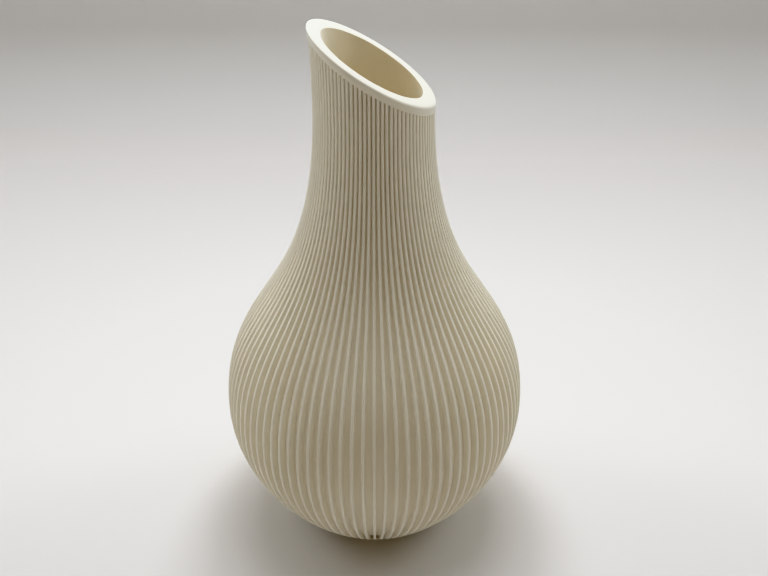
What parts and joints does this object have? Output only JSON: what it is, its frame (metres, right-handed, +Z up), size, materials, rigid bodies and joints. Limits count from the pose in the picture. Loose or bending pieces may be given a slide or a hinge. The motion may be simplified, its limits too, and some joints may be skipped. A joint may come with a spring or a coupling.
{
  "type": "ribbed bottle vase",
  "caption": "Bottle-shaped vase with a round belly, a slim neck, a slanted mouth and fine upright ribs all round, for a few stems.",
  "frame": {"origin": "centre of the foot, on its underside", "axes": "+Z up along the vase's own axis; the mouth slopes down from -X, its highest point, to +X"},
  "size_m": [0.1166, 0.1166, 0.2003],
  "materials": {
    "ivory_print": "warm ivory filament print, matte, with very fine level layer lines"
  },
  "bodies": {
    "root": {"foot_disc": "ivory_print", "inner_vessel": "ivory_print", "rib_bank_01": "ivory_print", "rib_bank_02": "ivory_print", "rib_bank_03": "ivory_print", "rib_bank_04": "ivory_print", "rib_bank_05": "ivory_print", "rib_bank_06": "ivory_print", "rib_bank_07": "ivory_print", "rib_bank_08": "ivory_print", "rib_bank_09": "ivory_print", "rib_bank_10": "ivory_print", "rib_bank_11": "ivory_print", "rib_bank_12": "ivory_print", "rib_bank_13": "ivory_print", "rib_bank_14": "ivory_print", "rib_bank_15": "ivory_print", "rib_bank_16": "ivory_print", "rib_bank_17": "ivory_print", "rib_bank_18": "ivory_print", "mouth_collar": "ivory_print"}
  },
  "joints": []
}
